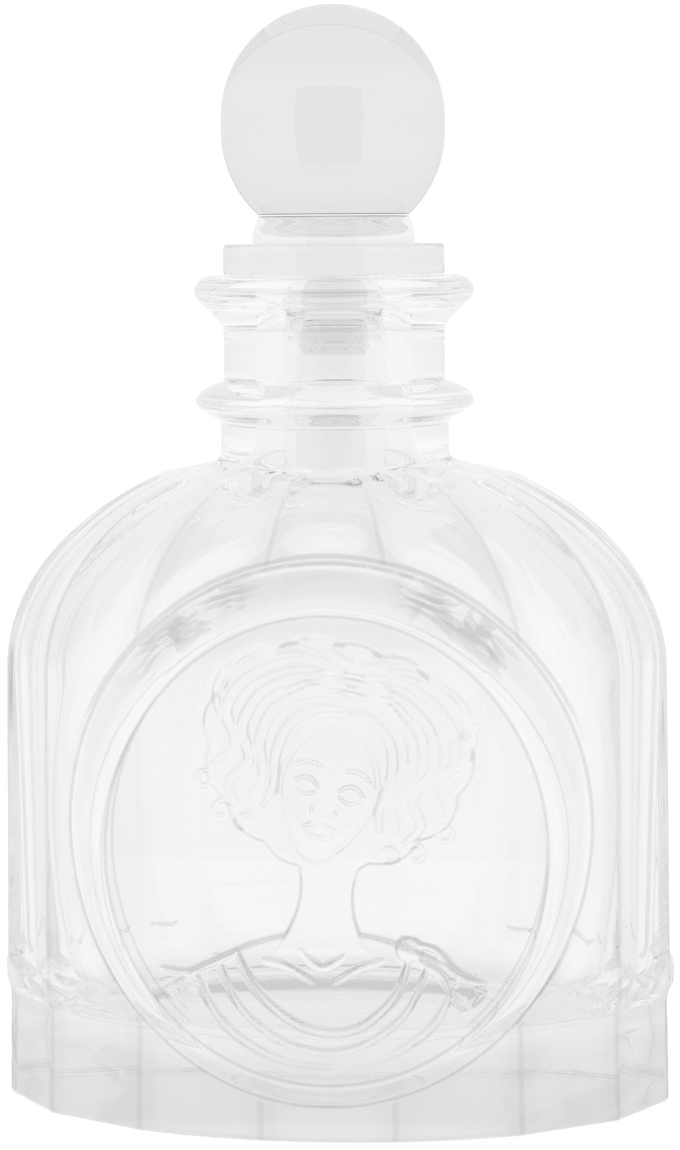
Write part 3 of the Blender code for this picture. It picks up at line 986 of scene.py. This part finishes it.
def make_seal(material):
    foot = seal_low.z
    top = seal_high.z
    fin_radius = seal_high.x
    sleeve_radius = fin_radius - fin_reach
    sleeve_bore = shank_radius + seat_gap
    pitch = (top - foot) / fin_count
    outline = [(sleeve_bore, foot)]
    for fin in range(fin_count):
        for height_share, reach_share in fin_shares:
            radius = mixed(sleeve_radius, fin_radius, reach_share)
            outline.append((radius, foot + pitch * (fin + height_share)))
    outline += [(sleeve_radius, top), (sleeve_bore, top), (sleeve_bore, foot)]
    piece = finish_piece("seal_look", turned(outline, turned_columns), material, turned_sharp_angle)
    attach(piece, "sleeve")
    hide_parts("stopper_seal")
    return piece


# Materials

class Value:
    """A socket that takes part in Python expressions, each of which adds a Math node."""

    def __init__(self, recipe, socket):
        self.recipe = recipe
        self.socket = socket

    def maths(self, operation, first, second):
        return self.recipe.add("ShaderNodeMath", {"operation": operation}, {0: first, 1: second})

    def output(self, name):
        return Value(self.recipe, self.socket.node.outputs[name])

    def __add__(self, other):
        return self.maths("ADD", self, other)

    def __radd__(self, other):
        return self.maths("ADD", other, self)

    def __sub__(self, other):
        return self.maths("SUBTRACT", self, other)

    def __rsub__(self, other):
        return self.maths("SUBTRACT", other, self)

    def __mul__(self, other):
        return self.maths("MULTIPLY", self, other)

    def __rmul__(self, other):
        return self.maths("MULTIPLY", other, self)

    def __truediv__(self, other):
        return self.maths("DIVIDE", self, other)

    def __rtruediv__(self, other):
        return self.maths("DIVIDE", other, self)

    def __pow__(self, other):
        return self.maths("POWER", self, other)


class Recipe:
    """The nodes of one material or of the world."""

    def __init__(self, owner):
        owner.use_nodes = True
        self.tree = owner.node_tree

    def fill(self, node, sockets):
        for name, value in sockets.items():
            if isinstance(value, Value):
                self.tree.links.new(value.socket, node.inputs[name])
            else:
                node.inputs[name].default_value = value

    def add(self, kind, settings, sockets, output=0):
        node = self.tree.nodes.new(kind)
        for name, value in settings.items():
            setattr(node, name, value)
        self.fill(node, sockets)
        return Value(self, node.outputs[output])

    def smooth(self, value, start, end, first, last):
        """A smooth change from one value to another while the input goes from start to end."""
        return self.add("ShaderNodeMapRange", {"interpolation_type": "SMOOTHSTEP"},
                        {"Value": value, "From Min": start, "From Max": end, "To Min": first, "To Max": last})

    def smooth_beside(self, value, reaches, first, last):
        """A smooth change while the input goes from one reach to another, to either side of 0."""
        start, end = reaches
        return self.smooth(value * value, start ** 2, end ** 2, first, last)

    def noise(self, place, scale, detail, distortion=0.0):
        return self.add("ShaderNodeTexNoise", {},
                        {"Vector": place, "Scale": scale, "Detail": detail, "Distortion": distortion})

    def parts(self, place):
        """The three coordinates of a place."""
        across = self.add("ShaderNodeSeparateXYZ", {}, {0: place})
        return across, across.output("Y"), across.output("Z")


def grey(level):
    return (level, level, level, 1.0)


def glass_material(name, colour, roughness, ior, waviness, tone_of=None):
    """Clear material whose surface has the long waves and the faint orange peel of moulded glass.
    The tone, where there is one, makes the colour darker in places: on the bottle and the ball mostly as
    painted shade and painted reflection, on the stopper's base as its dark joint."""
    material = bpy.data.materials.new(name)
    recipe = Recipe(material)
    place = recipe.add("ShaderNodeTexCoord", {}, {}, "Object")
    long_waves = recipe.noise(place, long_wave_scale, detail=1.0)
    fine_waves = recipe.noise(place, fine_wave_scale, detail=2.0)
    height = long_waves * (1.0 - fine_wave_share) + fine_waves * fine_wave_share
    bump = recipe.add("ShaderNodeBump", {}, {"Height": height, "Strength": waviness, "Distance": wave_height})
    base_colour = (*colour, 1.0)
    if tone_of:
        tone = tone_of(recipe, place)
        red, green, blue = colour
        base_colour = recipe.add("ShaderNodeCombineColor", {},
                                 {0: tone * red, 1: tone * green, 2: tone * blue})
    recipe.fill(recipe.tree.nodes["Principled BSDF"],
                {"Base Color": base_colour, "Roughness": roughness, "IOR": ior, "Transmission Weight": 1.0,
                 "Normal": bump})
    return material


def oval_reach(across, up, half_width, centre_height, half_height):
    """1 on an upright oval, less inside it and more outside it."""
    side = across / half_width
    rise = (up - centre_height) / half_height
    return (side * side + rise * rise) ** 0.5


def line_at(recipe, reach, half_thickness):
    """1 where the reach is 1, falling to 0 at a share to either side."""
    return recipe.smooth_beside(reach - 1.0, (0.0, half_thickness), 1.0, 0.0)


def ridge_painted_shade(recipe, across, ahead, up):
    """Painted shade: how much darker the glass is painted near the ridges between two flutes and between two
    facets.
    """
    climb = up.maths("MAXIMUM", up - shoulder_start, 0.0)
    end_reach = math.sqrt(1.0 - (neck_foot_half_depth / body_half_depth) ** 2) / (neck_foot - shoulder_start)
    half_width = (1.0 - (climb / shoulder_rise) ** 2.0) ** 0.5 * shoulder_half_width
    half_depth = (1.0 - (climb * end_reach) ** 2.0) ** 0.5 * body_half_depth
    side = across / half_width
    depth = ahead / half_depth
    flutes = side.maths("ARCTAN2", side, depth) / flute_turn + 0.5
    off = flutes - flutes.maths("ROUND", flutes, 0.0)
    band = recipe.smooth_beside(off, (0.0, ridge_band_share), ridge_band_painted_shade, 0.0)
    line = recipe.smooth_beside(off, (0.0, ridge_line_share), ridge_line_painted_shade, 0.0)
    on_body = recipe.smooth(up, shoulder_start + shoulder_rise * ridge_top_share, neck_foot, 1.0, 0.0)
    on_outside = recipe.smooth((side * side + depth * depth) ** 0.5, *ridge_outside_shares, 0.0, 1.0)
    behind = recipe.smooth(depth, *ridge_back_shares, 1.0, ridge_back_share)
    return (band + line) * on_body * on_outside * behind


def bust_edge_painted_shade(recipe, ahead):
    """Painted shade: how much darker the steep edges of the bust are painted, in place of the light that they
    bend away.
    """
    turned_away = recipe.add("ShaderNodeAttribute", {"attribute_name": STEEPNESS}, {}, "Fac")
    disc = relief_height - face_depth
    on_disc = recipe.smooth(ahead, disc - disc_margins[0], disc + disc_margins[1], 1.0, 0.0)
    return on_disc * recipe.smooth(turned_away, *steep_shares, 0.0, relief_line_painted_shade)


def wall_painted_shade(recipe, across, up, rim, foot):
    """Painted shade: how much darker the medallion's wall is painted along its two edges, over its face and
    in streak marks on its upper part.
    """
    edges = line_at(recipe, foot, outer_line_share)
    edges = edges + line_at(recipe, rim, rim_line_share) * rim_line_fade_share
    rise = (up - wall_centre_height) / wall_half_height
    around = rise.maths("ARCTAN2", rise, across / wall_half_width) * wall_half_width
    outward = foot * (wall_half_width * streak_stretch)
    along_wall = recipe.add("ShaderNodeCombineXYZ", {}, {0: around, 1: outward, 2: 0.0})
    painted_streaks = recipe.noise(along_wall, streak_scale, detail=1.5, distortion=1.0)
    painted_streaks = recipe.smooth(painted_streaks, *streak_noise_shares, 0.0, streak_painted_shade)
    painted_streaks = painted_streaks * recipe.smooth(up, *streak_heights, 0.0, 1.0)
    painted_streaks = painted_streaks * recipe.smooth_beside(across, streak_sides, 0.0, 1.0)
    inner = recipe.smooth(rim, *wall_inner_shares, 0.0, 1.0)
    outer = recipe.smooth(foot, *wall_outer_shares, 1.0, 0.0)
    return edges * edge_line_painted_shade + inner * outer * (painted_streaks + plain_wall_painted_shade)


def heel_painted_shade(recipe, across, ahead, up):
    """Painted shade: darker cloudy patches in the heel to both sides of the medallion, in place of the shaded
    floor seen through the base.
    """
    stretched = recipe.add("ShaderNodeCombineXYZ", {}, {0: across, 1: ahead, 2: up * cloud_stretch})
    shade_clouds = recipe.noise(stretched, cloud_scale, detail=3.0, distortion=1.0)
    shade_clouds = recipe.smooth(shade_clouds, *cloud_noise_shares, 0.0, cloud_painted_shade)
    shade_clouds = shade_clouds * recipe.smooth(up, heel_height * cloud_top_share, heel_height, 1.0, 0.0)
    shade_clouds = shade_clouds * recipe.smooth_beside(across, cloud_sides, 0.0, 1.0)
    return shade_clouds * recipe.smooth(ahead, *cloud_depths, 1.0, 0.0)


def bottle_painted_shade(recipe, place):
    """Painted shade, where real glass loses the light that it bends away: greyer in the heavy foot, on the
    flanks, round the disc, at the ridges, on the steep edges of the bust and along the edges of the
    medallion."""
    across, ahead, up = recipe.parts(place)
    rim = oval_reach(across, up, disc_half_width - disc_bevel, disc_centre_height,
                     disc_half_height - disc_bevel)
    foot = oval_reach(across, up, wall_half_width, wall_centre_height, wall_half_height)
    in_front = recipe.smooth(ahead, *front_depths, 1.0, 0.0)
    beside_wall = recipe.smooth(foot, *beside_wall_shares, 0.0, 1.0) * in_front + 1.0 - in_front
    ridges = ridge_painted_shade(recipe, across, ahead, up) * beside_wall
    foot_shade = recipe.smooth(up, *foot_painted_shade_heights, foot_painted_shade_share, 1.0)
    flank_shade = recipe.smooth_beside(across, flank_sides, 1.0, flank_painted_shade_share)
    disc_surround_shade = recipe.smooth(rim, *disc_edge_shares, 1.0, beside_disc_painted_shade_share)
    wall = wall_painted_shade(recipe, across, up, rim, foot) * in_front
    return (foot_shade * (1.0 - heel_painted_shade(recipe, across, ahead, up)) * flank_shade * disc_surround_shade
            * (1.0 - bust_edge_painted_shade(recipe, ahead)) * (1.0 - ridges) * (1.0 - wall))


def joint_tone(recipe, place):
    """Dark on the outer edge of the glued joint between ball and collar."""
    across, ahead, up = recipe.parts(place)
    near = recipe.smooth_beside(up - mixed(collar_top, ball_low.z, 0.5), joint_heights, 1.0, 0.0)
    reach = (across * across + ahead * ahead) ** 0.5
    outer = recipe.smooth(ball_seat_radius - reach, *joint_rings, 1.0, 0.0)
    return 1.0 - near * outer * joint_dark_share


def ball_joint_and_painted_light(recipe, place):
    """The dark joint; painted shade that darkens the upper half; and a painted reflection at the front of the
    top: a thin dark line over a slightly greyer cap.
    """
    ahead, up = recipe.parts(place)[1:]
    radius = ball_high.x
    rise = (up - (ball_high.z - radius)) / radius
    tilted = rise + ahead / radius * cap_slope - cap_offset
    line = recipe.smooth_beside(tilted, (0.0, cap_line_share), cap_line_painted_reflection, 0.0)
    cap = recipe.smooth(tilted, *cap_edge_shares, 0.0, cap_painted_reflection)
    at_top = recipe.smooth(rise, *cap_rises, 0.0, 1.0)
    at_top = at_top * recipe.smooth(ahead / radius, *cap_front_shares, 1.0, 0.0)
    upper = recipe.smooth(rise, *ball_top_rises, 1.0, ball_top_painted_shade_share)
    return joint_tone(recipe, place) * upper * (1.0 - (line + cap) * at_top)


def floor_material(name, paint, glow, painted_shadow_share, painted_front_shade):
    """Matt white sheet lit from below, with a painted shadow that makes it a little less bright near the
    object and painted shade towards the tent's opening.
    """
    material = bpy.data.materials.new(name)
    recipe = Recipe(material)
    place = recipe.add("ShaderNodeTexCoord", {}, {}, "Object")
    across, along = recipe.parts(place)[:2]
    reach = (along * along + across * across) ** 0.5
    level = painted_shadow_share + (1.0 - painted_shadow_share) * reach / (reach + near_floor_reach)
    level = level * recipe.smooth(reach, *far_floor_reaches, 1.0, far_floor_share)
    front_shade = recipe.smooth(along, -opening_distance, -front_floor_start, painted_front_shade, 0.0)
    level = level * (1.0 - front_shade * recipe.smooth_beside(across, front_floor_sides, 1.0, 0.0))
    colour = recipe.add("ShaderNodeCombineColor", {}, {0: level, 1: level, 2: level})
    recipe.fill(recipe.tree.nodes["Principled BSDF"],
                {"Base Color": grey(paint), "Roughness": 0.9, "Specular IOR Level": 0.0,
                 "Emission Color": colour, "Emission Strength": glow})
    return material


def card_material(name, level):
    material = bpy.data.materials.new(name)
    recipe = Recipe(material)
    recipe.fill(recipe.tree.nodes["Principled BSDF"],
                {"Base Color": grey(0.0), "Roughness": 1.0, "Specular IOR Level": 0.0,
                 "Emission Color": grey(1.0), "Emission Strength": level})
    return material


# Studio and camera

def put_on_stage(name, mesh_builder, material, seen_by):
    """A thing of the studio, which casts no shadow and is seen only by the rays that are named."""
    thing = object_of(name, mesh_builder)
    thing.data.materials.append(material)
    thing.visible_camera = "camera" in seen_by
    thing.visible_diffuse = "diffuse" in seen_by
    thing.visible_glossy = "glossy" in seen_by
    thing.visible_transmission = "transmission" in seen_by
    thing.visible_shadow = False


def sheet_between(low, high):
    """A flat rectangle between two corners, lying or standing."""
    sheet = bmesh.new()
    bmesh.ops.create_grid(sheet, x_segments=1, y_segments=1, size=0.5)
    for vertex in sheet.verts:
        across = vertex.co.x + 0.5
        up = vertex.co.y + 0.5
        along = across if high[2] > low[2] else up
        vertex.co = (mixed(low[0], high[0], across), mixed(low[1], high[1], along),
                     mixed(low[2], high[2], up))
    return sheet


def make_stage():
    reach = floor_size / 2.0
    plain = floor_material("floor_paint", floor_grey, floor_glow, 1.0, 0.0)
    shaded = floor_material("floor_in_glass_paint", shaded_floor_grey, shaded_floor_glow, near_floor_painted_shadow_share,
                            front_floor_painted_shade)
    put_on_stage("floor", sheet_between((-reach, -reach, 0.0), (reach, reach, 0.0)), plain,
                 ("camera", "diffuse"))
    put_on_stage("floor_in_glass", sheet_between((-reach, -reach, -floor_gap), (reach, reach, -floor_gap)),
                 shaded, ("glossy", "transmission"))
    low = (-opening_half_width, -opening_distance, -floor_gap)
    high = (opening_half_width, -opening_distance, opening_top)
    put_on_stage("opening_reflected", sheet_between(low, high),
                 card_material("reflected_paint", opening_level_reflected), ("glossy",))
    put_on_stage("opening_refracted", sheet_between(low, high),
                 card_material("refracted_paint", opening_level_refracted), ("transmission",))
    backdrop = bmesh.new()
    bmesh.ops.create_uvsphere(backdrop, u_segments=32, v_segments=16, radius=floor_size * backdrop_share)
    bmesh.ops.reverse_faces(backdrop, faces=backdrop.faces)
    put_on_stage("backdrop", backdrop, card_material("backdrop_paint", backdrop_level), ("camera",))


def make_world():
    world = bpy.data.worlds.new("studio")
    recipe = Recipe(world)
    aim = recipe.add("ShaderNodeTexCoord", {}, {}, "Generated")
    rise = recipe.parts(aim)[2]
    level = tent_level * recipe.smooth(rise, *tent_rises, 1.0, tent_top_share)
    recipe.fill(recipe.tree.nodes["Background"], {"Color": grey(1.0), "Strength": level})
    bpy.context.scene.world = world


def make_camera():
    data = bpy.data.cameras.new("camera")
    data.lens = camera_lens
    data.sensor_width = camera_sensor
    data.sensor_fit = "AUTO"
    data.clip_start = 10.0 * mm
    data.clip_end = 100.0 * metre
    camera = bpy.data.objects.new("camera", data)
    bpy.context.scene.collection.objects.link(camera)
    camera.matrix_world = (
        Matrix.Translation((camera_distance * math.sin(camera_yaw), -camera_distance * math.cos(camera_yaw),
                            camera_height))
        @ Matrix.Rotation(camera_yaw - camera_aside, 4, "Z")
        @ Matrix.Rotation(math.pi / 2.0 - camera_tilt, 4, "X")
        @ Matrix.Rotation(-camera_roll, 4, "Z"))
    bpy.context.scene.camera = camera


scene = bpy.context.scene
scene.view_settings.view_transform = "Standard"
scene.cycles.max_bounces = light_bounces
scene.cycles.transmission_bounces = light_bounces
scene.cycles.glossy_bounces = light_bounces

bottle_glass = glass_material("bottle_glass", (0.995, 0.995, 0.995), 0.0, 1.52, 0.05, bottle_painted_shade)
ball_glass = glass_material("ball_glass", (0.9, 0.9, 0.9), 0.0, 1.52, 0.02, ball_joint_and_painted_light)
clear_moulding = glass_material("clear_moulding", (0.92, 0.917, 0.91), 0.0, 1.47, 0.2, joint_tone)
soft_seal = glass_material("soft_seal", (0.98, 0.98, 0.98), 0.08, 1.05, 0.2)
make_bottle(bottle_glass)
make_ball(ball_glass)
make_base(clear_moulding)
make_seal(soft_seal)
make_stage()
make_world()
make_camera()
